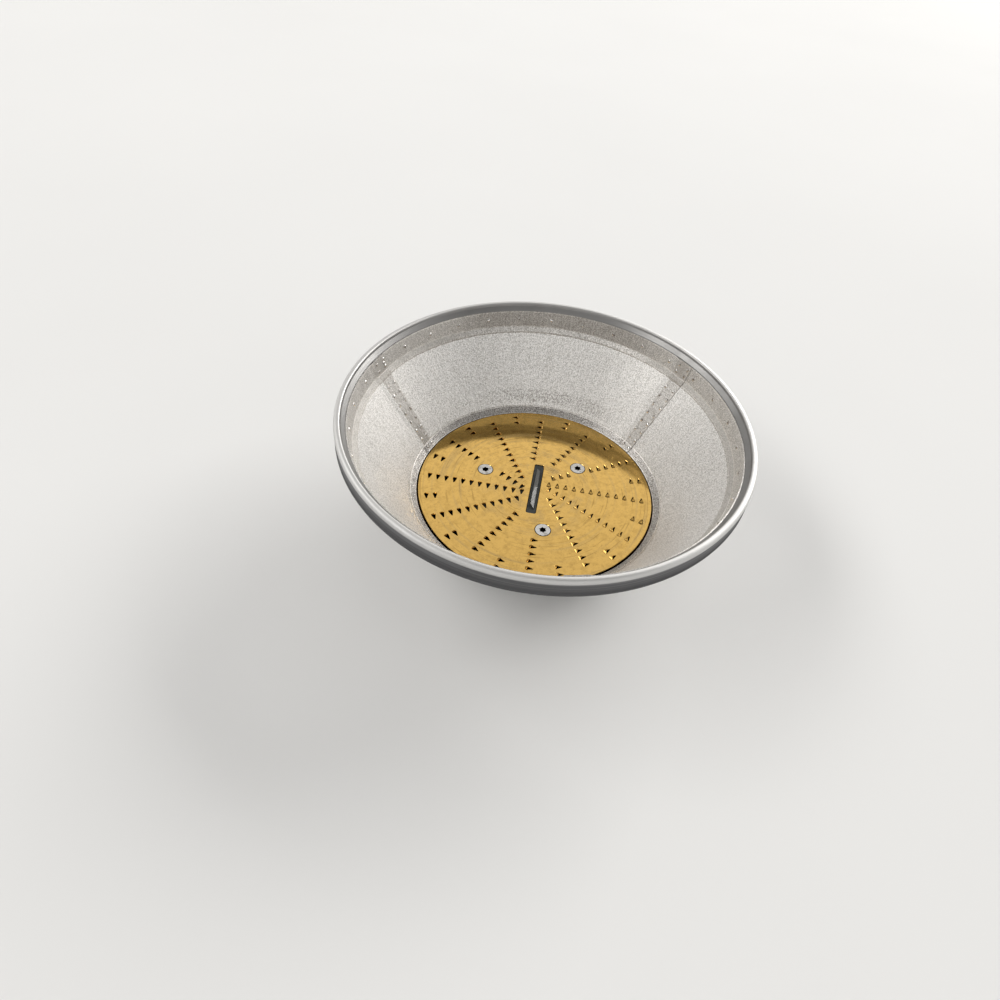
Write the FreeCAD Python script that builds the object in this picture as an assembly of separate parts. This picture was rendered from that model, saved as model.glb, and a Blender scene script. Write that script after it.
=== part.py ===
"""Filter basket of a centrifugal juicer: a conical mesh screen in a steel rim, with a toothed cutting disc.

Millimetres, +Z up. The origin is on the axis, at the foot of the drive hub that the basket stands on.
Sections are drawn as (radius, height) and turned about Z. Azimuths are in degrees from +X, turning to +Y.
"""

import FreeCAD
import Part
import math
import os

from FreeCAD import Vector

# Heights of the stack, from the hub's foot to the top of the rim
hub_height = 17.6
disc_sheet = 0.8
disc_gap = 2.0
pan_sheet = 0.6
basket_depth = 45.6

# Rim: one rolled steel section, a flange behind the mesh, a rounded bead and an outer skirt
rim_radius = 89.0
rim_sheet = 0.7
bead_bend = 1.6
bead_flat_count = 2
skirt_depth = 8.7

# Mesh cone: three thin lapped panels with a grid of windows, flatter in the foot that is welded to the pan and
# steeper in the band that is welded to the rim
mesh_sheet = 0.4
edge_gap = 0.7
foot_drop = 0.2
foot_run = 2.95
foot_rise = 2.2
shoulder_inset = 8.1
shoulder_drop = 12.1
shoulder_ledge = 0.8
shoulder_rise = 0.3
band_inset = 5.0
band_drop = 3.3
flange_gap = 0.6
panel_count = 3
seam_azimuth = 39.0
lap_angle = 5.6
joggle_angle = 0.5
edge_clearance = 0.4
weld_gap = 0.02
window_column_count = 12
window_row_count = 3
window_foot = 2.0
window_head = 2.6
window_bar = 3.4

# Base pan: a pressed ring, gripped by the hub at its inner edge, with a low wall and a flange under the mesh's foot
pan_grip = 2.0

# Cutting disc: coated steel, punched with rows of lifted teeth
disc_radius = 54.8
disc_azimuth = 85.0
slot_length = 32.5
slot_width = 4.5
slot_corner = 0.8
row_count = 12
row_offset = 4.0
row_inset = 6.8
tooth_pitch = 4.0
tooth_edge_land = 3.4
edge_pair_inset = 3.7
edge_pair_count = 2
tooth_width = 2.2
tooth_hole_length = 3.6
tooth_run = 1.1
tooth_height = 1.5
tooth_slot_land = 2.4
tooth_screw_land = 2.5
tooth_spacing = 3.1

# Screws: three countersunk screws with a six-lobed recess
screw_count = 3
screw_inset = 5.0
screw_azimuth = 40.0
screw_head_radius = 3.4
screw_shank_radius = 2.0
screw_length = 6.0
recess_lobe_count = 6
recess_outer = 1.75
recess_inner = 1.25
recess_depth = 1.2
screw_clearance = 0.25

# Drive hub: moulded round the pan's inner edge, with a keyed socket below and a seat for the knife above
hub_radius = 33.0
neck_radius = 31.0
hub_wall = 2.6
hub_plate = 4.0
socket_radius = 11.0
socket_wall = 4.0
socket_depth = 11.0
socket_recess = 1.0
key_count = 2
key_width = 5.0
key_depth = 2.0
rib_count = 3
rib_sheet = 2.0
rib_recess = 2.5
seat_clearance = 0.15
seat_drop = 0.5

# Centre knife: a steel bar set in the hub's seat, ground to a low peak with slanted ends
knife_length = 26.4
knife_width = 1.7
knife_slant = 2.3
knife_tang = 5.0
knife_end_rise = 0.35
knife_peak_rise = 1.3
knife_bevel = 0.7
knife_clearance = 0.05

# Levels and other values that follow from the sizes above
disc_top = hub_height + disc_sheet
rim_top = disc_top + basket_depth
pan_floor = hub_height - disc_gap
pan_bore = neck_radius - pan_grip
screw_circle = neck_radius - screw_inset
past_face = 1.0
panel_sweep = 360.0 / panel_count
axis = Vector(0, 0, 1)
origin = Vector(0, 0, 0)


def along(point, angle, distance):
    """A section point moved along a direction, given in degrees from the radius."""
    turn = math.radians(angle)
    return (point[0] + distance * math.cos(turn), point[1] + distance * math.sin(turn))


def right_of(point, angle, distance):
    """A section point moved to the right of a direction."""
    return along(point, angle - 90, distance)


def heading(start, end):
    """Direction from one section point to another, in degrees from the radius."""
    return math.degrees(math.atan2(end[1] - start[1], end[0] - start[0]))


def turn_at(path, i):
    """Direction before corner i of a path, and its turn there, with left turns positive."""
    before = heading(path[i - 1], path[i])
    after = heading(path[i], path[i + 1])
    return before, (after - before + 180) % 360 - 180


def offset_path(path, distance):
    """The path moved to its right."""
    moved = [right_of(path[0], heading(path[0], path[1]), distance)]
    for i in range(1, len(path) - 1):
        before, turn = turn_at(path, i)
        reach = distance / math.cos(math.radians(turn / 2))
        moved.append(right_of(path[i], before + turn / 2, reach))
    moved.append(right_of(path[-1], heading(path[-2], path[-1]), distance))
    return moved


def bend_corner(path, i, bend, flats):
    """Points that round corner i of a path to a bend radius, drawn with a few flats."""
    before, turn = turn_at(path, i)
    side = math.copysign(90, turn)
    tangent = bend * math.tan(math.radians(abs(turn) / 2))
    centre = along(along(path[i], before, -tangent), before + side, bend)
    return [along(centre, before - side + turn * k / flats, bend) for k in range(flats + 1)]


def closed_face(points):
    return Part.Face(Part.makePolygon(points + points[:1]))


def section_face(path):
    return closed_face([Vector(radius, 0, height) for radius, height in path])


def sheet_face(path, thickness):
    """Section of a plain sheet whose visible face follows the path, with its thickness on the right."""
    return section_face(path + offset_path(path, thickness)[::-1])


def turned(face, first=0.0, sweep=360.0):
    """A section turned about the basket's axis."""
    return spun(face.revolve(origin, axis, sweep), first)


def spun(shape, azimuth):
    """A copy turned about the basket's axis."""
    copy = shape.copy()
    copy.rotate(origin, axis, azimuth)
    return copy


def spot_at(radius, azimuth, height=0.0, offset=0.0):
    """A point at a radius and an offset to its left, turned to an azimuth."""
    return spun(Part.Vertex(radius, offset, height), azimuth).Point


def ring_of(shape, count, first=0.0):
    """Copies spaced evenly round the axis."""
    return [spun(shape, first + 360.0 / count * i) for i in range(count)]


def upright(face, height):
    return face.extrude(Vector(0, 0, height))


def slot_bar(margin, bottom, top):
    """An upright bar with rounded corners that fills the slot but for a margin all round."""
    length = slot_length - 2 * margin
    width = slot_width - 2 * margin
    bar = Part.makeBox(length, width, top - bottom, Vector(-length / 2, -width / 2, bottom))
    corners = [e for e in bar.Edges if abs(e.tangentAt(e.FirstParameter).z) > 0.9]
    return spun(bar.makeFillet(slot_corner - margin, corners), disc_azimuth)


def screw_spots(height=0.0):
    return [spot_at(screw_circle, screw_azimuth + 360.0 / screw_count * i, height) for i in range(screw_count)]


def screw_sinks(margin):
    """The cones of the screw heads, grown by a margin."""
    small = screw_shank_radius + margin
    large = screw_head_radius + margin
    return [Part.makeCone(small, large, disc_sheet, spot) for spot in screw_spots(hub_height)]


# The mesh's line, along its inner face: foot, cone, ledge and band
foot_edge = (disc_radius + edge_gap, disc_top - foot_drop)
foot_fold = (foot_edge[0] + foot_run, foot_edge[1] + foot_rise)
shoulder = (rim_radius - shoulder_inset, rim_top - shoulder_drop)
wall_angle = heading(foot_fold, shoulder)
band_foot = (shoulder[0] + shoulder_ledge, shoulder[1] + shoulder_rise)
band_head = (rim_radius - band_inset, rim_top - band_drop)
band_angle = heading(band_foot, band_head)
mesh_line = [foot_edge, foot_fold, shoulder, band_foot, band_head]


def mesh_panel(first):
    """One panel. Its first edge steps inward and lies over the last edge of the panel before it."""
    edge_room = math.degrees(edge_clearance / shoulder[0])
    sheet = turned(sheet_face(mesh_line, mesh_sheet), first, panel_sweep - edge_room)
    lap_path = offset_path(mesh_line, -mesh_sheet - weld_gap)
    lap = turned(sheet_face(lap_path, mesh_sheet), first - lap_angle, lap_angle + joggle_angle)
    half_sunk = mesh_sheet + weld_gap + mesh_sheet / 2
    joggle = turned(sheet_face(lap_path, half_sunk), first, joggle_angle)
    return sheet.fuse([lap, joggle]).removeSplitter().cut(mesh_windows(first))


def mesh_windows(first):
    """Cutters for the windows of one panel, in rows above its foot and in columns between the laps."""
    field = math.dist(foot_fold, shoulder) - window_foot - window_head
    row_pitch = (field + window_bar) / window_row_count
    bar_angle = math.degrees(window_bar / foot_fold[0])
    column_pitch = (panel_sweep - lap_angle - bar_angle) / window_column_count
    windows = []
    for row in range(window_row_count):
        foot = along(foot_fold, wall_angle, window_foot + row_pitch * row)
        head = along(foot, wall_angle, row_pitch - window_bar)
        face = sheet_face(offset_path([foot, head], -past_face), mesh_sheet + 2 * past_face)
        for column in range(window_column_count):
            start = first + bar_angle + column_pitch * column
            windows.append(turned(face, start, column_pitch - bar_angle))
    return windows


def rim_ring():
    """Flange behind the mesh's band, rounded bead over its top edge, and outer skirt."""
    back = right_of(band_foot, band_angle, mesh_sheet + weld_gap)
    bead_run = (rim_top - back[1]) / math.tan(math.radians(band_angle))
    corners = [
        along(back, band_angle, flange_gap),
        (back[0] + bead_run, rim_top),
        (rim_radius, rim_top),
        (rim_radius, rim_top - skirt_depth),
    ]
    inner_bend = bend_corner(corners, 1, bead_bend, bead_flat_count)
    outer_bend = bend_corner(corners, 2, bead_bend, bead_flat_count)
    visible = corners[:1] + inner_bend + outer_bend + corners[3:]
    return turned(section_face(visible + offset_path(corners, rim_sheet)[::-1]))


def base_pan():
    """Flat ring with its inner edge in the hub's groove, turned up outside to a flange under the mesh's foot."""
    flange = offset_path([foot_edge, foot_fold], mesh_sheet + weld_gap)
    path = [(pan_bore, pan_floor), (flange[0][0], pan_floor)] + flange
    return turned(sheet_face(path, pan_sheet))


def tooth_spots():
    """Each tooth's distance along its row and the row's azimuth, with those that have no room left out."""
    row_step = 360.0 / row_count
    rows_to_half_turn = row_count // 2
    edge_reach = disc_radius - edge_pair_inset
    spots = []
    for row in range(row_count):
        azimuth = disc_azimuth + row * row_step
        reach = disc_radius - row_inset + tooth_pitch / rows_to_half_turn * (row % rows_to_half_turn)
        row_teeth = int(reach / tooth_pitch)
        spots += [(reach - tooth_pitch * i, azimuth) for i in range(row_teeth)]
        edge_azimuth = azimuth + row_step / 2
        spots += [(edge_reach - tooth_pitch * i, edge_azimuth) for i in range(edge_pair_count)]
    kept = []
    places = []
    for distance, azimuth in sorted(spots, reverse=True):
        place = spot_at(distance, azimuth, offset=row_offset)
        if tooth_has_room(place, places):
            kept.append((distance, azimuth))
            places.append(place)
    return kept


def tooth_has_room(place, others):
    """True where a tooth stays clear of the disc's edge, the slot, the screw heads and its neighbours."""
    in_slot_frame = spot_at(place.x, -disc_azimuth, offset=place.y)
    past_end = max(abs(in_slot_frame.x) - slot_length / 2, 0)
    past_side = max(abs(in_slot_frame.y) - slot_width / 2, 0)
    from_screw = min((place - p).Length for p in screw_spots())
    return (
        place.Length <= disc_radius - tooth_edge_land
        and math.hypot(past_end, past_side) >= tooth_slot_land
        and from_screw >= screw_head_radius + tooth_screw_land
        and all((place - other).Length >= tooth_spacing for other in others)
    )


def tooth_hole(distance, azimuth):
    """Cutter for the pointed hole that a tooth leaves, broad at the hinge."""
    hinge = row_offset - tooth_hole_length / 2
    bottom = hub_height - past_face
    corners = [
        Vector(distance - tooth_width / 2, hinge, bottom),
        Vector(distance + tooth_width / 2, hinge, bottom),
        Vector(distance, hinge + tooth_hole_length, bottom),
    ]
    return spun(upright(closed_face(corners), disc_sheet + 2 * past_face), azimuth)


def tooth(distance, azimuth):
    """Flap lifted from the hinge of its hole, thinning to a sharp tip above the disc."""
    hinge = row_offset - tooth_hole_length / 2
    left = distance - tooth_width / 2
    right = distance + tooth_width / 2
    root = [
        Vector(left, hinge, disc_top),
        Vector(right, hinge, disc_top),
        Vector(right, hinge, hub_height),
        Vector(left, hinge, hub_height),
    ]
    tip = Vector(distance, hinge + tooth_run, disc_top + tooth_height)
    sides = [closed_face([root[i], root[(i + 1) % 4], tip]) for i in range(4)]
    return spun(Part.Solid(Part.Shell([closed_face(root)] + sides)), azimuth)


def cutting_disc():
    """Disc with its slot, countersunk holes and lifted teeth."""
    plate = Part.makeCylinder(disc_radius, disc_sheet, Vector(0, 0, hub_height))
    slot = slot_bar(0.0, hub_height - past_face, disc_top + past_face)
    spots = tooth_spots()
    holes = [tooth_hole(*spot) for spot in spots]
    plate = plate.cut([slot] + screw_sinks(screw_clearance) + holes)
    return plate.fuse([tooth(*spot) for spot in spots]).removeSplitter()


def disc_screws():
    """Countersunk heads flush with the disc, shanks down into the hub's plate."""
    section = [
        (0.0, disc_top - screw_length),
        (screw_shank_radius, disc_top - screw_length),
        (screw_shank_radius, hub_height),
        (screw_head_radius, disc_top),
        (0.0, disc_top),
    ]
    body = turned(section_face(section))
    lobes = []
    for i in range(2 * recess_lobe_count):
        radius = recess_inner if i % 2 else recess_outer
        lobes.append(spot_at(radius, 180.0 / recess_lobe_count * i, disc_top - recess_depth))
    screw = body.cut(upright(closed_face(lobes), recess_depth + past_face))
    screw.translate(Vector(screw_circle, 0, 0))
    return Part.Compound(ring_of(screw, screw_count, screw_azimuth))


def drive_hub():
    """Ribbed cup, open below, with the socket in its middle and the knife's seat on top."""
    pan_seat = pan_floor - pan_sheet - weld_gap
    grip_radius = pan_bore - weld_gap
    plate_bottom = pan_seat - hub_plate
    socket_top = socket_recess + socket_depth
    socket_outer = socket_radius + socket_wall
    section = [
        (0.0, hub_height),
        (neck_radius, hub_height),
        (neck_radius, pan_floor + weld_gap),
        (grip_radius, pan_floor + weld_gap),
        (grip_radius, pan_seat),
        (hub_radius, pan_seat),
        (hub_radius, 0.0),
        (hub_radius - hub_wall, 0.0),
        (hub_radius - hub_wall, plate_bottom),
        (socket_outer, plate_bottom),
        (socket_outer, socket_recess),
        (socket_radius, socket_recess),
        (socket_radius, socket_top),
        (0.0, socket_top),
    ]
    cup = turned(section_face(section))
    rib_start = socket_outer - socket_wall / 2
    rib_run = hub_radius - hub_wall / 2 - rib_start
    rib_rise = plate_bottom + hub_plate / 2 - rib_recess
    rib = Part.makeBox(rib_run, rib_sheet, rib_rise, Vector(rib_start, -rib_sheet / 2, rib_recess))
    seat = slot_bar(seat_clearance, plate_bottom, disc_top - seat_drop)
    hub = cup.fuse(ring_of(rib, rib_count, screw_azimuth) + [seat])
    key_reach = socket_radius + key_depth
    key = Part.makeBox(key_reach, key_width, socket_depth, Vector(0, -key_width / 2, socket_recess))
    pilot_foot = disc_top - screw_length - weld_gap
    pilot_rise = hub_height - pilot_foot
    pilots = [Part.makeCylinder(screw_shank_radius + weld_gap, pilot_rise, p) for p in screw_spots(pilot_foot)]
    pocket = knife_bar(knife_clearance, disc_top - knife_tang - knife_clearance)
    return hub.cut(ring_of(key, key_count, disc_azimuth) + pilots + [pocket]).removeSplitter()


def knife_bar(margin, bottom):
    """The knife's plan, a bar with slanted ends along the slot, grown by a margin and drawn up to its peak."""
    slope = knife_slant / knife_width
    side = knife_width / 2 + margin
    middle_end = (knife_length - knife_slant) / 2 + margin * math.hypot(1, slope)
    corners = [
        Vector(middle_end + slope * side, side, bottom),
        Vector(slope * side - middle_end, side, bottom),
        Vector(-middle_end - slope * side, -side, bottom),
        Vector(middle_end - slope * side, -side, bottom),
    ]
    return spun(upright(closed_face(corners), disc_top + knife_peak_rise - bottom), disc_azimuth)


def knife_grind():
    """What is ground off one half of the bar, down to a face that falls to its end and to one side."""
    peak = disc_top + knife_peak_rise
    end_fall = 2 * (knife_peak_rise - knife_end_rise)
    ground = [
        Vector(0, -knife_width, peak + knife_bevel),
        Vector(knife_length, -knife_width, peak + knife_bevel - end_fall),
        Vector(knife_length, knife_width, peak - knife_bevel - end_fall),
        Vector(0, knife_width, peak - knife_bevel),
    ]
    over = [Vector(p.x, p.y, peak + 2 * knife_bevel) for p in ground]
    faces = [closed_face(ground), closed_face(over)]
    for i in range(4):
        j = (i + 1) % 4
        faces.append(closed_face([ground[i], ground[j], over[j], over[i]]))
    return Part.Solid(Part.Shell(faces))


def centre_knife():
    """Steel bar in the seat, with its two halves bevelled on opposite sides."""
    bar = knife_bar(0.0, disc_top - knife_tang)
    return bar.cut(ring_of(knife_grind(), 2, disc_azimuth))


nodes = {
    "drive_hub": drive_hub(),
    "base_pan": base_pan(),
    "cutting_disc": cutting_disc(),
    "centre_knife": centre_knife(),
    "disc_screws": disc_screws(),
    "rim_ring": rim_ring(),
}
for i in range(panel_count):
    nodes[f"mesh_panel_{i + 1}"] = mesh_panel(seam_azimuth + lap_angle / 2 + panel_sweep * i)

os.makedirs("parts", exist_ok=True)
for name, shape in nodes.items():
    shape.exportStep(f"parts/{name}.step")
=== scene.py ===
import math
import random

import bpy
from mathutils import Matrix, Vector
from mathutils.geometry import delaunay_2d_cdt


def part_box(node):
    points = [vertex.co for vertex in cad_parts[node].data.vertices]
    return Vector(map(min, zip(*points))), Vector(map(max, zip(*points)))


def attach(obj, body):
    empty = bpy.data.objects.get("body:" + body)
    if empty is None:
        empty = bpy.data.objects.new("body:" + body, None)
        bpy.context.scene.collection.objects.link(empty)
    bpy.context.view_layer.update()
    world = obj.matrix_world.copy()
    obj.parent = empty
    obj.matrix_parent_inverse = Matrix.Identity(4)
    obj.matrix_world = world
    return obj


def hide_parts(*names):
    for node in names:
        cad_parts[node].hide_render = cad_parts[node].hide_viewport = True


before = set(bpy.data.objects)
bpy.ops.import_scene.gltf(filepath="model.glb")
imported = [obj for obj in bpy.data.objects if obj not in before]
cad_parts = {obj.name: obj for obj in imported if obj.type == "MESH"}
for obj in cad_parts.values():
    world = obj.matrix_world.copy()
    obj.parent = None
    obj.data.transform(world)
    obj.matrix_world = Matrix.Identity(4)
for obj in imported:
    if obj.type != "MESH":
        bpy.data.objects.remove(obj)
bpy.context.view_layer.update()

# The drive hub is a moulded cup of dark green-black plastic. The basket stands on its foot, its neck grips
# the base pan, and its raised seat fills the slot in the middle of the cutting disc.
mm = 0.001
hub_black = (0.020, 0.024, 0.022, 1)
hub_worn = (0.045, 0.050, 0.046, 1)


class Wire:
    """A shader socket that takes part in plain arithmetic."""

    def __init__(self, socket):
        self.socket = socket

    @staticmethod
    def join(slot, value):
        if isinstance(value, Wire):
            slot.id_data.links.new(value.socket, slot)
        else:
            slot.default_value = value

    def math(self, operation, *values):
        node = self.socket.id_data.nodes.new("ShaderNodeMath")
        node.operation = operation
        for slot, value in zip(node.inputs, values):
            Wire.join(slot, value)
        return Wire(node.outputs[0])

    def __add__(self, other):
        return self.math("ADD", self, other)

    def __sub__(self, other):
        return self.math("SUBTRACT", self, other)

    def __rsub__(self, other):
        return self.math("SUBTRACT", other, self)

    def __mul__(self, other):
        return self.math("MULTIPLY", self, other)

    def __pow__(self, other):
        return self.math("POWER", self, other)

    def __abs__(self):
        return self.math("ABSOLUTE", self)

    __radd__ = __add__
    __rmul__ = __mul__


class Sheet:
    """A sheet of shader nodes, and the one way to add a node to it."""

    def __init__(self, owner):
        owner.use_nodes = True
        self.tree = owner.node_tree

    def node(self, kind, settings, inputs, output=0):
        made = self.tree.nodes.new(kind)
        for name, value in settings.items():
            setattr(made, name, value)
        for name, value in inputs.items():
            Wire.join(made.inputs[name], value)
        return Wire(made.outputs[output])


class Finish(Sheet):
    """A material: a Principled shader with what is the same all over, and the nodes that vary the rest."""

    def __init__(self, name, **constants):
        self.material = bpy.data.materials.new(name)
        super().__init__(self.material)
        self.shader = self.tree.nodes["Principled BSDF"]
        for socket, value in constants.items():
            self.shader.inputs[socket.replace("_", " ")].default_value = value
        self.place = self.node("ShaderNodeTexCoord", {}, {}, "Object")

    def noise(self, place, scale, detail=2.0, roughness=0.5):
        sockets = {"Vector": place, "Scale": scale, "Detail": detail, "Roughness": roughness}
        return self.node("ShaderNodeTexNoise", {}, sockets)

    def ramp(self, value, low, high):
        """0 below low and 1 above high, with a soft change between."""
        sockets = {"Value": value, "From Min": low, "From Max": high}
        return self.node("ShaderNodeMapRange", {"interpolation_type": "SMOOTHSTEP"}, sockets)

    def mix(self, share, first, second):
        return self.node("ShaderNodeMix", {"data_type": "RGBA"}, {0: share, 6: first, 7: second}, 2)

    def feed(self, socket, wire):
        Wire.join(self.shader.inputs[socket], wire)

    def bump(self, height, distance, strength=1.0):
        sockets = {"Height": height, "Distance": distance, "Strength": strength}
        self.feed("Normal", self.node("ShaderNodeBump", {}, sockets))


def dress(node, finish):
    """Gives a solid of the frame its finish."""
    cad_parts[node].data.materials.clear()
    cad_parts[node].data.materials.append(finish.material)


hub_plastic = Finish("hub_plastic", Specular_IOR_Level=0.45)
hub_grain = hub_plastic.noise(hub_plastic.place, 900.0, 3.0)
hub_wear = hub_plastic.ramp(hub_plastic.noise(hub_plastic.place, 160.0, 4.0), 0.52, 0.75)
hub_plastic.feed("Base Color", hub_plastic.mix(hub_wear, hub_black, hub_worn))
hub_plastic.feed("Roughness", 0.38 + 0.2 * hub_grain)
hub_plastic.bump(hub_grain, 0.05 * mm)
dress("drive_hub", hub_plastic)

# The base pan is a pressed ring of satin steel, gripped by the hub at its inner edge. It turns up to a flange
# under the screen's foot. Its floor and the top of its flange are painted near-black, as shade under the disc
# and the screen's foot.
pan_grey = (0.56, 0.55, 0.53, 1)
pan_dull = (0.49, 0.48, 0.46, 1)
pan_shade_black = (0.032, 0.012, 0.007, 1)
pan_sheet = 0.6 * mm
pan_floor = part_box("base_pan")[0].z + pan_sheet
pan_wall_radius = 55.75 * mm
pan_flange_foot = 17.86 * mm
pan_flange_slope = 0.746
shade_fade = 0.1 * mm


def polar(finish):
    """Radius, azimuth and height of a point of the basket."""
    x, y, z = (finish.node("ShaderNodeSeparateXYZ", {}, {"Vector": finish.place}, axis) for axis in "XYZ")
    return (x * x + y * y) ** 0.5, x.math("ARCTAN2", y, x), z


def turned_lines(finish, across, around, detail=2.0):
    """Fine lines that run round the axis, as spinning or turning leaves them."""
    radius, azimuth, height = polar(finish)
    sockets = {"X": radius * across, "Y": azimuth * around, "Z": height * across}
    return finish.noise(finish.node("ShaderNodeCombineXYZ", {}, sockets), 1.0, detail)


pan_steel = Finish("pan_steel", Metallic=1.0)
pan_lines = turned_lines(pan_steel, 2600.0, 3.0)
pan_stain = pan_steel.ramp(pan_steel.noise(pan_steel.place, 420.0, 5.0, 0.6), 0.45, 0.7)
pan_radius, pan_height = polar(pan_steel)[::2]
pan_above = pan_steel.ramp(pan_height, pan_floor - 3 * shade_fade, pan_floor - 2 * shade_fade)
pan_inside = 1.0 - pan_steel.ramp(
    pan_radius, pan_wall_radius + 1.5 * shade_fade, pan_wall_radius + 5 * shade_fade
)
pan_rise = pan_height - pan_flange_slope * (pan_radius - pan_wall_radius) - pan_flange_foot
pan_flange_top = pan_steel.ramp(pan_rise, -4 * shade_fade, -3 * shade_fade)
# Painted shade: the pan's floor and its flange's top are coloured near-black.
pan_painted_shade = pan_above * pan_inside.math("MAXIMUM", pan_inside, pan_flange_top)
pan_colour = pan_steel.mix(pan_stain, pan_grey, pan_dull)
pan_steel.feed("Base Color", pan_steel.mix(pan_painted_shade, pan_colour, pan_shade_black))
pan_steel.feed("Roughness", 0.34 + 0.16 * pan_lines + 0.1 * pan_stain)
pan_steel.bump(pan_lines, 0.02 * mm, 0.6)
dress("base_pan", pan_steel)

# The cutting disc is polished steel with a gold hard coating, screwed down on the hub. Its teeth are punched
# up out of the sheet, each from a pointed hole. Use has scratched it round the axis and dulled its middle.
disc_low, disc_tips = (corner.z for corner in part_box("cutting_disc"))
disc_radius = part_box("cutting_disc")[1].x
disc_sheet = 0.8 * mm
disc_top = disc_low + disc_sheet
disc_edge_bend = 0.15 * mm
slot_length = 32.5 * mm
slot_width = 4.5 * mm
slot_corner = 0.8 * mm
slot_azimuth = math.radians(85.0)
screw_circle = 26.0 * mm
screw_azimuth = math.radians(40.0)
screw_count = 3
screw_hole = 3.65 * mm
tooth_width = 2.2 * mm
tooth_hole_length = 3.6 * mm
tooth_tip_offset = 3.3 * mm
tooth_tip_run = 1.1 * mm
tooth_hinge = tooth_tip_offset - tooth_tip_run
tooth_tip_half_width = 0.06 * mm
tooth_sheet = 0.34 * mm
tooth_corner = 0.55 * mm
worn_core = 12.0 * mm
worn_reach = 40.0 * mm
gold = (0.74, 0.47, 0.138, 1)
gold_scuffed = (0.50, 0.35, 0.15, 1)
gold_stain_and_shade = (0.36, 0.22, 0.06, 1)


def rounded(corners, arc_steps=4):
    """Points of a closed outline whose corners (x, y, bend) are rounded to their bend."""
    points = []
    for i, (x, y, bend) in enumerate(corners):
        here = Vector((x, y))
        before = (Vector(corners[i - 1][:2]) - here).normalized()
        after = (Vector(corners[(i + 1) % len(corners)][:2]) - here).normalized()
        half = before.angle(after) / 2
        inward = (before + after).normalized()
        if bend == 0 or half > math.radians(89):
            points.append(here)
            continue
        centre = here + inward * (bend / math.sin(half))
        start = here + before * (bend / math.tan(half)) - centre
        end = here + after * (bend / math.tan(half)) - centre
        sweep = start.angle_signed(end)
        for k in range(arc_steps + 1):
            points.append(centre + Matrix.Rotation(-sweep * k / arc_steps, 2) @ start)
    return points


def spun(points, azimuth):
    turn = Matrix.Rotation(azimuth, 2)
    return [turn @ Vector(p) for p in points]


def circle(radius, steps, centre=(0, 0)):
    turns = [Matrix.Rotation(math.tau * i / steps, 2) for i in range(steps)]
    return [Vector(centre) + turn @ Vector((radius, 0)) for turn in turns]


def grown(outline, distance):
    """A closed outline with each point moved outward."""
    moved = []
    for before, here, after in zip(outline[-1:] + outline[:-1], outline, outline[1:] + outline[:1]):
        along = (after - before).normalized()
        moved.append(here + Vector((along.y, -along.x)) * distance)
    return moved


def pierced_plate(name, outlines, bottom, top, bend):
    """A flat sheet between two heights, from its outer outline and its holes, with softly broken edges."""
    rims = [grown(outline, bend if i else -bend) for i, outline in enumerate(outlines)]
    flat = [point for rim in rims for point in rim]
    owner = [i for i, rim in enumerate(rims) for point in rim]
    first = [owner.index(i) for i in range(len(rims))]
    edges = []
    for rim, start in zip(rims, first):
        edges += [(start + k, start + (k + 1) % len(rim)) for k in range(len(rim))]
    laid = delaunay_2d_cdt(flat, edges, [], 0, 1e-9)
    spots, triangles, origins = laid[0], laid[2], laid[3]
    owners = [owner[origin[0]] for origin in origins]
    caps = [t for t in triangles if owners[t[0]] == 0 or len({owners[v] for v in t}) > 1]
    points = []
    faces = []
    for height, turned_over in ((top, False), (bottom, True)):
        faces += [tuple(len(points) + v for v in (t[::-1] if turned_over else t)) for t in caps]
        points += [(p.x, p.y, height) for p in spots]
    for i, (rim, outline) in enumerate(zip(rims, outlines)):
        start = len(points)
        for ring, height in ((rim, top), (outline, top - bend), (outline, bottom + bend), (rim, bottom)):
            points += [(p.x, p.y, height) for p in ring]
        count = len(rim)
        for level in range(3):
            for k in range(count):
                a = start + level * count + k
                b = start + level * count + (k + 1) % count
                faces.append((a, a + count, b + count, b) if i == 0 else (b, b + count, a + count, a))
    mesh = bpy.data.meshes.new(name)
    mesh.from_pydata(points, [], faces)
    return mesh


def tooth_places():
    """Each tooth's distance along its row and its row's azimuth, from the tips of the solid disc's teeth."""
    tips = set()
    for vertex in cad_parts["cutting_disc"].data.vertices:
        if vertex.co.z > disc_tips - 0.01 * mm:
            tips.add((round(vertex.co.x, 5), round(vertex.co.y, 5)))
    for x, y in sorted(tips):
        reach = math.hypot(x, y)
        distance = math.sqrt(reach**2 - tooth_tip_offset**2)
        yield distance, math.atan2(y, x) - math.asin(tooth_tip_offset / reach)


def tooth_flap(distance, azimuth, sections=7):
    """Points and faces of a pointed tongue that curls up from its hole's hinge, four points to a section."""
    lift = disc_tips - disc_top
    points = []
    for i in range(sections):
        share = i / (sections - 1)
        half_width = tooth_width / 2 * (1 - share) ** 1.5 + tooth_tip_half_width * share
        forward = tooth_hinge + tooth_tip_run * (1 - (1 - share) ** 1.5)
        height = disc_top + lift * share**1.25
        sheet = tooth_sheet * (1 - 0.6 * share)
        for side, drop in ((-1, 0), (1, 0), (1, sheet), (-1, sheet)):
            x, y = spun([(distance + side * half_width, forward + drop * 0.8 * share)], azimuth)[0]
            points.append((x, y, height - drop * (1 - 0.5 * share)))
    faces = [(0, 1, 2, 3), tuple(4 * sections - k for k in (1, 2, 3, 4))]
    for i in range(sections - 1):
        for k in range(4):
            a, b = 4 * i + k, 4 * i + (k + 1) % 4
            faces.append((a, a + 4, b + 4, b))
    return points, faces


def new_piece(name, points, faces, finish, crease=35.0):
    """A piece of the basket as its own mesh, smooth but for edges sharper than the crease."""
    mesh = bpy.data.meshes.new(name)
    mesh.from_pydata(points, [], faces)
    return show(name, mesh, finish, crease)


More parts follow.
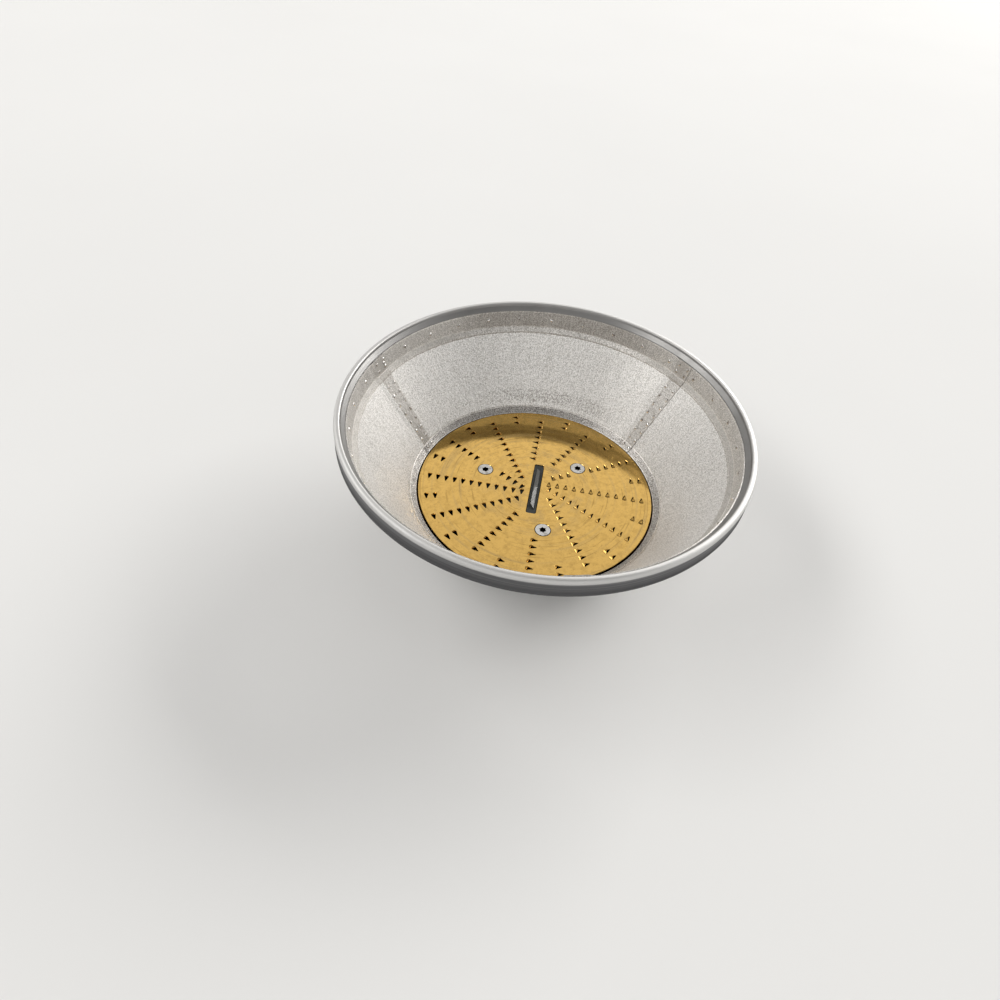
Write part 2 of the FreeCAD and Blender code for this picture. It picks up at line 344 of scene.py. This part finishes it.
def show(name, mesh, finish, crease=35.0):
    mesh.materials.clear()
    mesh.materials.append(finish.material)
    mesh.shade_smooth()
    mesh.set_sharp_from_angle(angle=math.radians(crease))
    piece = bpy.data.objects.new(name, mesh)
    bpy.context.collection.objects.link(piece)
    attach(piece, "root")
    return piece


slot_signs = ((1, 1), (-1, 1), (-1, -1), (1, -1))
slot_corners = [(sx * slot_length / 2, sy * slot_width / 2, slot_corner) for sx, sy in slot_signs]
disc_outlines = [circle(disc_radius, 256), spun(rounded(slot_corners), slot_azimuth)]
for i in range(screw_count):
    spot = spun([(screw_circle, 0)], screw_azimuth + math.tau / screw_count * i)[0]
    disc_outlines.append(circle(screw_hole, 48, spot))
flap_points = []
flap_faces = []
for distance, azimuth in tooth_places():
    hole = rounded([
        (distance - tooth_width / 2, tooth_hinge, tooth_corner),
        (distance + tooth_width / 2, tooth_hinge, tooth_corner),
        (distance, tooth_hinge + tooth_hole_length, tooth_corner / 4),
    ], 3)
    disc_outlines.append(spun(hole, azimuth))
    points, faces = tooth_flap(distance, azimuth)
    flap_faces += [tuple(len(flap_points) + k for k in face) for face in faces]
    flap_points += points

disc_gold = Finish("disc_gold", Metallic=1.0)
disc_lines = turned_lines(disc_gold, 1700.0, 1.3, 3.0)
disc_radius_here = polar(disc_gold)[0]
disc_scuff = disc_gold.ramp(disc_gold.noise(disc_gold.place, 95.0, 5.0, 0.62), 0.5, 0.68)
disc_middle = 1.0 - disc_gold.ramp(disc_radius_here, worn_core, worn_reach)
disc_worn = disc_scuff * disc_middle
disc_flecks = disc_gold.ramp(disc_gold.noise(disc_gold.place, 700.0, 4.0, 0.7), 0.62, 0.72)
disc_swirl = disc_gold.ramp(turned_lines(disc_gold, 420.0, 0.8, 4.0), 0.5, 0.72)
disc_scratch = disc_gold.ramp(turned_lines(disc_gold, 1100.0, 2.2, 2.0), 0.61, 0.69)
disc_mottle = disc_gold.ramp(disc_gold.noise(disc_gold.place, 320.0, 5.0, 0.65), 0.42, 0.66)
disc_specks = disc_gold.ramp(disc_gold.noise(disc_gold.place, 1600.0, 2.0, 0.6), 0.6, 0.68)
disc_colour = disc_gold.mix(0.32 * disc_mottle + 0.3 * disc_specks, gold, gold_stain_and_shade)
disc_colour = disc_gold.mix(disc_worn * 0.7, disc_colour, gold_scuffed)
disc_colour = disc_gold.mix(disc_swirl * 0.5, disc_colour, gold_scuffed)
disc_colour = disc_gold.mix(disc_flecks * 0.5, disc_colour, gold_stain_and_shade)
disc_gold.feed("Base Color", disc_gold.mix(disc_scratch * 0.5, disc_colour, gold_stain_and_shade))
disc_polish = 0.05 + 0.06 * disc_lines
disc_gold.feed("Roughness", disc_polish + 0.22 * disc_worn + 0.1 * disc_flecks + 0.08 * disc_swirl)
disc_gold.bump(disc_lines, 0.02 * mm, 0.15)
tooth_gold = Finish("tooth_gold", Metallic=1.0)
tooth_marks_and_shade = tooth_gold.noise(tooth_gold.place, 900.0, 3.0)
# Painted shade: the teeth are coloured darker than the disc, toward the stain's brown, for the dark
# surroundings their raised faces reflect; the noise varies it in marks.
tooth_gold.feed("Base Color", tooth_gold.mix(tooth_marks_and_shade, gold, gold_stain_and_shade))
tooth_gold.feed("Roughness", 0.2 + 0.2 * tooth_marks_and_shade)

plate = pierced_plate("cutting_plate", disc_outlines, disc_low, disc_top, disc_edge_bend)
cutting_plate = show("cutting_plate", plate, disc_gold, 25.0)
new_piece("cutting_teeth", flap_points, flap_faces, tooth_gold, 50.0)
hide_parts("cutting_disc")

# The centre knife is a short bar of steel, ground to a low peak in its middle with slanted ends. It is set in
# a pocket of the hub's seat.
knife_bright = (0.26, 0.26, 0.255, 1)
knife_grey = (0.13, 0.13, 0.125, 1)
knife_steel = Finish("knife_steel", Metallic=1.0)
knife_grind = knife_steel.noise(knife_steel.place, 1500.0, 3.0)
knife_steel.feed("Base Color", knife_steel.mix(knife_grind, knife_bright, knife_grey))
knife_steel.feed("Roughness", 0.4 + 0.25 * knife_grind)
knife_steel.bump(knife_grind, 0.02 * mm, 0.5)
dress("centre_knife", knife_steel)

# The disc screws are three countersunk screws of turned bright steel, with six-lobed recesses. They hold the
# disc down on the hub's neck.
screw_bright = (0.68, 0.67, 0.65, 1)
screw_stained = (0.42, 0.40, 0.36, 1)
screw_shade_black = (0.010, 0.009, 0.008, 1)
recess_dark = 0.3 * mm
recess_light = 0.06 * mm
screw_steel = Finish("screw_steel", Metallic=1.0)
screw_marks = screw_steel.noise(screw_steel.place, 1100.0, 4.0)
screw_dirt = screw_steel.ramp(screw_steel.noise(screw_steel.place, 420.0, 4.0), 0.5, 0.7)
screw_height = polar(screw_steel)[2]
# Painted shade: the recesses are coloured near-black below the disc's top.
screw_recess_shade = 1.0 - screw_steel.ramp(screw_height, disc_top - recess_dark, disc_top - recess_light)
screw_colour = screw_steel.mix(screw_dirt, screw_bright, screw_stained)
screw_steel.feed("Base Color", screw_steel.mix(screw_recess_shade, screw_colour, screw_shade_black))
screw_steel.feed("Roughness", 0.22 + 0.2 * screw_marks)
screw_steel.bump(screw_marks, 0.02 * mm, 0.5)
dress("disc_screws", screw_steel)

# The screen is three panels of thin steel sheet, pierced all over with fine holes and bent to a cone. Each
# panel's first edge steps inward over the panel before it. Its foot is folded flatter, to lie on the pan's
# flange, and a steeper band along the top stands inside the rim.
sheet = 0.4 * mm
lap_lift = 0.42 * mm
foot_edge = Vector((55.6, 17.75)) * mm
foot_fold = Vector((58.45, 20.4)) * mm
fold_under = Vector((80.19, 50.9)) * mm
fold_nose = Vector((80.23, 51.2)) * mm
band_foot = Vector((81.93, 53.3)) * mm
band_head = Vector((84.0, 60.7)) * mm
mesh_line = [foot_edge, foot_fold, fold_under, fold_nose, band_foot, band_head]
panel_count = 3
panel_sweep = math.tau / panel_count
panel_first = math.radians(41.8)
lap_angle = math.radians(5.6)
joggle_angle = math.radians(2.2)
hole_pitch = 0.6 * mm
hole_radius = 0.2 * mm
foot_hole_radius = 0.25 * mm
hole_stray = 0.06 * mm
edge_margin = 0.8 * mm
fold_margin = 0.3 * mm
panel_gap = 0.3 * mm
plain_steps = 160
mesh_grey = (0.82, 0.80, 0.775, 1)
mesh_dull = (0.35, 0.335, 0.31, 1)
mesh_dirt_and_shade = (0.17, 0.145, 0.12, 1)
band_painted_light = (0.92, 0.90, 0.87, 1)
back_sector_azimuth = math.radians(88.0)
back_sector_spread = math.radians(44.0)
residue_height = 25.0 * mm
residue_core = 1.5 * mm
residue_reach = 4.5 * mm
crease_half_width = 0.1 * mm
fold_fade = 0.2 * mm
stray = random.Random(4)
run_lengths = [(b - a).length for a, b in zip(mesh_line, mesh_line[1:])]


def on_screen(azimuth, rise, depth):
    """A point of the screen at a distance up its line, and at a depth behind its inner face."""
    for start, end, run in zip(mesh_line, mesh_line[1:], run_lengths):
        if rise <= run or end is mesh_line[-1]:
            break
        rise -= run
    up = (end - start) / run
    radius, height = start + up * rise + Vector((up.y, -up.x)) * depth
    return radius * math.cos(azimuth), radius * math.sin(azimuth), height


def smooth_step(share):
    share = min(max(share, 0), 1)
    return share * share * (3 - 2 * share)


class Panel:
    """Points of one panel, as (azimuth, rise, depth), and its faces."""

    def __init__(self, first):
        self.first = first
        self.low = first - lap_angle
        self.high = first + panel_sweep - panel_gap / foot_fold.x
        self.spots = []
        self.faces = []

    def spot(self, azimuth, rise, depth=0.0):
        lift = lap_lift * (1 - smooth_step((azimuth - self.first) / joggle_angle))
        self.spots.append((azimuth, rise, depth - lift))
        return len(self.spots) - 1

    def strip(self, azimuths, low, high, low_depth=0.0, high_depth=0.0):
        """A plain row of faces between two heights."""
        under = [self.spot(azimuth, low, low_depth) for azimuth in azimuths]
        over = [self.spot(azimuth, high, high_depth) for azimuth in azimuths]
        for i in range(len(azimuths) - 1):
            self.faces.append((under[i], under[i + 1], over[i + 1], over[i]))

    def row(self, low, high, shift, hole_size):
        """A row of four-sided holes between two heights, with plain sheet at both ends."""
        middle = (low + high) / 2
        radius = math.hypot(*on_screen(0, middle, 0)[:2])
        margin = edge_margin / radius
        step = hole_pitch / radius
        count = int((self.high - self.low - 2 * margin) / step - shift)
        start = self.low + margin + shift * step
        borders = [start + step * i for i in range(count + 1)]
        self.strip([self.low, start], low, high)
        self.strip([borders[-1], self.high], low, high)
        under = [self.spot(azimuth, low) for azimuth in borders]
        over = [self.spot(azimuth, high) for azimuth in borders]
        for i in range(count):
            centre = (borders[i] + borders[i + 1]) / 2 + stray.uniform(-hole_stray, hole_stray) / radius
            centre_rise = middle + stray.uniform(-hole_stray, hole_stray)
            hole = hole_size * stray.uniform(0.8, 1.2)
            ring = []
            for k in range(4):
                turn = math.tau * k / 4
                across = hole * math.cos(turn) / radius
                ring.append(self.spot(centre + across, centre_rise + hole * math.sin(turn)))
            corners = (over[i + 1], over[i], under[i], under[i + 1])
            for k in range(4):
                after = (k + 1) % 4
                self.faces.append((corners[k], ring[after], ring[k]))
                self.faces.append((corners[k], corners[after], ring[after]))


def mesh_panel(first):
    """One panel: three fields of holes with plain folds between, its top edge and the edge of its lap."""
    panel = Panel(first)
    plain = [panel.low + (panel.high - panel.low) * i / plain_steps for i in range(plain_steps + 1)]
    heights = [sum(run_lengths[:i]) for i in range(len(mesh_line))]
    fields = ((*heights[:2], foot_hole_radius), (*heights[1:3], hole_radius), (*heights[4:], hole_radius))
    for low, high, hole_size in fields:
        count = int((high - low - 2 * fold_margin) / hole_pitch)
        foot = low + (high - low - count * hole_pitch) / 2
        panel.strip(plain, low, foot)
        for j in range(count):
            row_low = foot + j * hole_pitch
            panel.row(row_low, row_low + hole_pitch, stray.random(), hole_size)
        panel.strip(plain, foot + count * hole_pitch, high)
    panel.strip(plain, heights[2], heights[3])
    panel.strip(plain, heights[3], heights[4])
    panel.strip(plain, heights[5], heights[5], 0.0, sheet)
    for low, high in zip(heights, heights[1:]):
        edge = ((low, 0), (high, 0), (high, sheet), (low, sheet))
        panel.faces.append(tuple(panel.spot(panel.low, rise, depth) for rise, depth in edge))
    return panel


def lay_out(piece, spots):
    """The map for baking: each face keeps its own place along and across the piece."""
    layer = piece.data.uv_layers.new(name="OFBake")
    corners = [spots[loop.vertex_index] for loop in piece.data.loops]
    layer.data.foreach_set("uv", [share for corner in corners for share in corner])


mesh_steel = Finish("mesh_steel", Metallic=0.5)
mesh_azimuth, mesh_height = polar(mesh_steel)[1:]
mesh_cloud = mesh_steel.noise(mesh_steel.place, 60.0, 4.0, 0.55)
mesh_grain = mesh_steel.noise(mesh_steel.place, 2100.0, 2.0, 0.6)
mesh_weave_axes = {"X": mesh_azimuth * 150.0, "Z": mesh_height * 60.0}
mesh_weave_place = mesh_steel.node("ShaderNodeCombineXYZ", {}, mesh_weave_axes)
mesh_weave = mesh_steel.noise(mesh_weave_place, 1.0, 2.0, 0.6)
mesh_specks = mesh_steel.noise(mesh_steel.place, 1250.0, 2.0, 0.7)
mesh_back = 1.0 - mesh_steel.ramp(abs(mesh_azimuth - back_sector_azimuth), back_sector_spread * 0.5, back_sector_spread)
mesh_low = 1.0 - mesh_steel.ramp(abs(mesh_height - residue_height), residue_core, residue_reach)
mesh_caught = mesh_low * mesh_back
mesh_spread = 0.1 * mesh_caught + 0.02 * mesh_steel.ramp(mesh_cloud, 0.4, 0.7)
mesh_residue = mesh_steel.ramp(mesh_specks + mesh_spread, 0.61, 0.66) * (0.3 + 0.5 * mesh_caught)
# Painted shadow: a thin dark line under the lip at the fold.
mesh_past_crease = abs(mesh_height - fold_under.y - crease_half_width)
mesh_crease_shadow = 1.0 - mesh_steel.ramp(mesh_past_crease, crease_half_width, 3 * crease_half_width)
mesh_band = mesh_steel.ramp(mesh_height, band_foot.y - fold_fade, band_foot.y + fold_fade)
mesh_strip = mesh_steel.ramp(mesh_height, fold_nose.y, fold_nose.y + 1.5 * fold_fade)
mesh_strip = mesh_strip * (1.0 - mesh_band) * (1.0 - mesh_back)
mesh_turn = mesh_azimuth.math("WRAP", mesh_azimuth - (panel_first - lap_angle), panel_sweep, 0.0)
mesh_lap = 1.0 - mesh_steel.ramp(mesh_turn, lap_angle * 0.96, lap_angle * 1.04)
mesh_tone = mesh_steel.ramp(0.8 * mesh_grain + 0.2 * mesh_weave, 0.40, 0.61)
mesh_colour = mesh_steel.mix(mesh_tone, mesh_grey, mesh_dull)
# Painted shade: the fold strip is coloured darker except at the back.
mesh_colour = mesh_steel.mix(0.5 * mesh_strip, mesh_colour, mesh_dull)
# Painted light: the band is coloured lighter except at the back.
mesh_colour = mesh_steel.mix(0.3 * mesh_band * (1.0 - mesh_back), mesh_colour, band_painted_light)
# Painted shade: the crease and the band at the back are coloured darker; the laps are coloured darker too.
mesh_shade_and_lap = 0.4 * mesh_crease_shadow + 0.28 * mesh_band * mesh_back + 0.24 * mesh_lap
mesh_colour = mesh_steel.mix(mesh_shade_and_lap, mesh_colour, mesh_dirt_and_shade)
mesh_steel.feed("Base Color", mesh_steel.mix(mesh_residue, mesh_colour, mesh_dirt_and_shade))
mesh_steel.feed("Roughness", 0.37 + 0.14 * mesh_grain + 0.2 * mesh_strip)
mesh_steel.bump(mesh_grain, 0.03 * mm, 0.6)

whole = sum(run_lengths)
for i in range(panel_count):
    panel = mesh_panel(panel_first + panel_sweep * i)
    points = [on_screen(*spot) for spot in panel.spots]
    screen = new_piece(f"screen_{i + 1}", points, panel.faces, mesh_steel, 30.0)
    span = panel.high - panel.low
    flat = [((azimuth - panel.low) / span * 0.98, rise / whole) for azimuth, rise, depth in panel.spots]
    lay_out(screen, flat)
    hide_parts(f"mesh_panel_{i + 1}")

# The spot welds are small crushed buttons of the sheet's own steel, burnt dark in places. They hold each lap
# in two columns, and hold the screen's top band to the rim in one row.
weld_radius = 0.85 * mm
weld_height = 0.32 * mm
weld_steps = 14
weld_pitch = 5.0 * mm
weld_rows = 8
weld_foot = 2.3 * mm
weld_inset = math.radians(0.95)
band_weld_count = 32
band_weld_rise = sum(run_lengths[:4]) + 3.7 * mm
band_weld_spread = 1.8 * mm
weld_grey = (0.78, 0.77, 0.75, 1)
weld_burnt = (0.20, 0.18, 0.16, 1)


def weld_button(azimuth, rise, lift):
    """A low dome on the screen's inner face: rings of points, and faces."""
    radius = math.hypot(*on_screen(0, rise, 0)[:2])
    points = [on_screen(azimuth, rise, -lift - weld_height)]
    for share, height in ((0.45, 0.85), (0.8, 0.45), (1.0, -0.2)):
        for k in range(weld_steps):
            turn = math.tau * k / weld_steps
            across = weld_radius * share * math.cos(turn) / radius
            along = weld_radius * share * math.sin(turn)
            points.append(on_screen(azimuth + across, rise + along, -lift - weld_height * height))
    faces = []
    for k in range(weld_steps):
        after = (k + 1) % weld_steps
        faces.append((0, 1 + after, 1 + k))
        for ring in (1, 1 + weld_steps):
            faces.append((ring + k, ring + after, ring + weld_steps + after, ring + weld_steps + k))
    return points, faces


weld_places = []
for i in range(panel_count):
    lap_end = panel_first + panel_sweep * i
    for azimuth in (lap_end - lap_angle + weld_inset, lap_end - weld_inset):
        for j in range(weld_rows):
            weld_places.append((azimuth, weld_foot + weld_pitch * j, lap_lift))
        for rise in (band_weld_rise - band_weld_spread, band_weld_rise + band_weld_spread):
            weld_places.append((azimuth, rise, lap_lift))
for i in range(band_weld_count):
    azimuth = math.tau * i / band_weld_count
    past_lap = (azimuth - panel_first + lap_angle) % panel_sweep
    weld_places.append((azimuth, band_weld_rise, lap_lift if past_lap < lap_angle else 0.0))

weld_points = []
weld_faces = []
for place in weld_places:
    points, faces = weld_button(*place)
    weld_faces += [tuple(len(weld_points) + k for k in face) for face in faces]
    weld_points += points

weld_steel = Finish("weld_steel", Metallic=1.0)
weld_burn = weld_steel.ramp(weld_steel.noise(weld_steel.place, 900.0, 3.0), 0.38, 0.62)
weld_steel.feed("Base Color", weld_steel.mix(weld_burn, weld_grey, weld_burnt))
weld_steel.feed("Roughness", 0.25 + 0.2 * weld_burn)
new_piece("spot_welds", weld_points, weld_faces, weld_steel)

# The rim is one rolled ring of polished steel: a flange behind the screen's band, a round bead over its top
# edge, and a skirt outside with its lower edge turned in. It is welded to the screen.
rim_foot, rim_top = (corner.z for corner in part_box("rim_ring"))
rim_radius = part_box("rim_ring")[1].x
rim_sheet = 0.7 * mm
flange_radius = 82.3 * mm
skirt_foot = rim_top - 8.7 * mm
skirt_bend = 0.2 * mm
hem_width = 1.5 * mm
flare_foot = Vector((84.5, 60.9)) * mm
flare_head = Vector((86.1, 62.7)) * mm
flare_bend = 0.5 * mm
flare_back = Vector((85.4, 61.2)) * mm
bead_inner = 86.5 * mm
bead_back = 86.8 * mm
groove = 0.25 * mm
groove_head = rim_top - 2.4 * mm
groove_foot = skirt_foot + 1.1 * mm
groove_side = 0.4 * mm
shade_line_middle = rim_top - 3.7 * mm
shade_line_spread = 1.2 * mm
rim_steps = 360
rim_shade_grey = (0.26, 0.257, 0.253, 1)
rim_shade_dull = (0.22, 0.217, 0.213, 1)
bead_grey = (0.62, 0.615, 0.605, 1)
skirt_shade_grey = (0.20, 0.20, 0.205, 1)
skirt_shade_dark = (0.11, 0.11, 0.113, 1)
rim_section = rounded([
    (flange_radius, rim_foot, 0),
    (*flare_foot, flare_bend),
    (*flare_head, flare_bend),
    (bead_inner, rim_top, 0.8 * mm),
    (rim_radius, rim_top, 1.5 * mm),
    (rim_radius, groove_head, skirt_bend),
    (rim_radius - groove, groove_head - groove_side, skirt_bend),
    (rim_radius - groove, groove_foot + groove_side, skirt_bend),
    (rim_radius, groove_foot, skirt_bend),
    (rim_radius, skirt_foot, 0.5 * mm),
    (rim_radius - hem_width, skirt_foot, skirt_bend),
    (rim_radius - hem_width, skirt_foot + rim_sheet, skirt_bend),
    (rim_radius - rim_sheet, skirt_foot + rim_sheet, 0),
    (rim_radius - rim_sheet, rim_top - rim_sheet, 1.0 * mm),
    (bead_back, rim_top - rim_sheet, 0.3 * mm),
    (*flare_back, 0.3 * mm),
    (flange_radius + rim_sheet, rim_foot, 0),
], 6)


def turned_ring(name, section, steps, finish):
    """A closed section turned about the axis."""
    count = len(section)
    length = [0.0]
    for a, b in zip(section, section[1:] + section[:1]):
        length.append(length[-1] + (b - a).length)
    spots = []
    points = []
    for i in range(steps + 1):
        turn = math.tau * (i / steps)
        for j in range(count + 1):
            radius, height = section[j % count]
            spots.append((i / steps, length[j] / length[-1]))
            points.append((radius * math.cos(turn), radius * math.sin(turn), height))
    faces = []
    for i in range(steps):
        for j in range(count):
            a = i * (count + 1) + j
            faces.append((a, a + count + 1, a + count + 2, a + 1))
    ring = new_piece(name, points, faces, finish, 30.0)
    lay_out(ring, spots)
    return ring


rim_steel = Finish("rim_steel", Metallic=1.0)
rim_lines = turned_lines(rim_steel, 2200.0, 2.0, 3.0)
rim_cloud = rim_steel.ramp(rim_steel.noise(rim_steel.place, 45.0, 4.0, 0.6), 0.42, 0.7)
rim_out, rim_height = polar(rim_steel)[::2]
rim_bead = rim_steel.ramp(rim_out, bead_inner - 0.3 * mm, bead_inner + 0.3 * mm)
rim_skirt = rim_bead * (1.0 - rim_steel.ramp(rim_height, groove_head, groove_head + 1.0 * mm))
skirt_shade_fall = 1.0 - rim_steel.ramp(rim_height, groove_foot + groove_side, groove_head - 0.6 * mm)
skirt_shade_lines = rim_steel.ramp(turned_lines(rim_steel, 900.0, 1.0, 1.0), 0.54, 0.62)
# Painted shade: the flange and the inner slope are coloured much darker than the bead's steel.
rim_colour = rim_steel.mix(rim_cloud, rim_shade_grey, rim_shade_dull)
rim_colour = rim_steel.mix(rim_bead, rim_colour, bead_grey)
# Painted shade: the skirt is coloured dark, darker towards its foot, with fine dark lines.
skirt_colour = rim_steel.mix(skirt_shade_fall, skirt_shade_grey, skirt_shade_dark)
skirt_colour = rim_steel.mix(skirt_shade_lines * 0.6, skirt_colour, skirt_shade_dark)
# Painted shade: two thin dark lines round the skirt.
rim_past_shade_line = abs(abs(rim_height - shade_line_middle) - shade_line_spread)
rim_shade_lines = 1.0 - rim_steel.ramp(rim_past_shade_line, 0.12 * mm, 0.3 * mm)
rim_colour = rim_steel.mix(rim_skirt, rim_colour, skirt_colour)
rim_steel.feed("Base Color", rim_steel.mix(rim_bead * rim_shade_lines * 0.8, rim_colour, skirt_shade_dark))
rim_steel.feed("Roughness", 0.32 + 0.14 * rim_lines + 0.06 * rim_cloud + 0.17 * rim_bead)
rim_steel.bump(rim_lines, 0.02 * mm, 0.35)
rim = turned_ring("rim", rim_section, rim_steps, rim_steel)
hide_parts("rim_ring")

# The basket stands on a pale matt cloth, in a bright room. Window light comes from the back right and from
# the left, and low panels behind, at the right and in front fill the shadows.
cloth_white = (0.80, 0.80, 0.795, 1)
cloth_shade = (0.75, 0.75, 0.745, 1)
cloth = Finish("cloth", Roughness=0.9, Specular_IOR_Level=0.1)
cloth_fold_shade = cloth.noise(cloth.place, 3.0, 3.0)
# Painted shade: soft fold shading in the cloth's colour.
cloth.feed("Base Color", cloth.mix(cloth_fold_shade, cloth_white, cloth_shade))
table_reach = 4.0
table = bpy.data.meshes.new("table")
corners = [(sx * table_reach, sy * table_reach, 0) for sx, sy in ((-1, -1), (1, -1), (1, 1), (-1, 1))]
table.from_pydata(corners, [], [(0, 1, 2, 3)])
table.materials.append(cloth.material)
tabletop = bpy.data.objects.new("tabletop", table)
bpy.context.collection.objects.link(tabletop)

bpy.context.scene.view_settings.view_transform = "Standard"
room = bpy.data.worlds.new("room")
room_light = Sheet(room)
sky = room_light.tree.nodes["Background"]
sky.inputs["Color"].default_value = (1.0, 0.99, 0.975, 1)
sky_place = room_light.node("ShaderNodeTexCoord", {}, {}, "Generated")
sky_height = room_light.node("ShaderNodeSeparateXYZ", {}, {"Vector": sky_place}, "Z")
sky_fall = room_light.node("ShaderNodeMapRange", {}, {"Value": sky_height, "To Min": 1.0, "To Max": 0.03})
Wire.join(sky.inputs["Strength"], sky_fall)
bpy.context.scene.world = room


lamp_white = (1.0, 0.985, 0.96)


def soft_light(name, place, aim, width, height, watts):
    lamp = bpy.data.lights.new(name, "AREA")
    lamp.shape = "RECTANGLE"
    lamp.size = width
    lamp.size_y = height
    lamp.energy = watts
    lamp.color = lamp_white
    light = bpy.data.objects.new(name, lamp)
    facing = (Vector(aim) - Vector(place)).to_track_quat("-Z", "Y")
    light.matrix_world = Matrix.Translation(place) @ facing.to_matrix().to_4x4()
    bpy.context.collection.objects.link(light)


soft_light("back_panel", (0.1, 1.15, 1.15), (0, 0, 0), 1.8, 0.6, 2.2)
soft_light("right_window", (3.2, 3.45, 2.45), (0, 0, 0.03), 4.0, 2.0, 232.0)
soft_light("right_panel", (2.5, -0.5, 1.1), (0, 0, 0.03), 1.2, 0.8, 2.4)
soft_light("left_window", (-2.5, 0.05, 2.4), (0, 0, 0.05), 3.4, 1.0, 55.0)
soft_light("front_panel", (0.1, -1.4, 1.1), (0, 0, 0.03), 1.6, 0.8, 3.2)

camera_place = Vector((-15.88, -236.74, 255.59)) * mm
camera_fall = math.radians(46.33)
camera_roll = math.radians(6.43)
view = bpy.data.cameras.new("view")
view.sensor_width = 36.0
view.lens = 25.657
view.clip_start = 0.01
camera = bpy.data.objects.new("camera", view)
tilt = Matrix.Rotation(math.pi / 2 - camera_fall, 4, "X") @ Matrix.Rotation(camera_roll, 4, "Z")
camera.matrix_world = Matrix.Translation(camera_place) @ tilt
bpy.context.collection.objects.link(camera)
bpy.context.scene.camera = camera
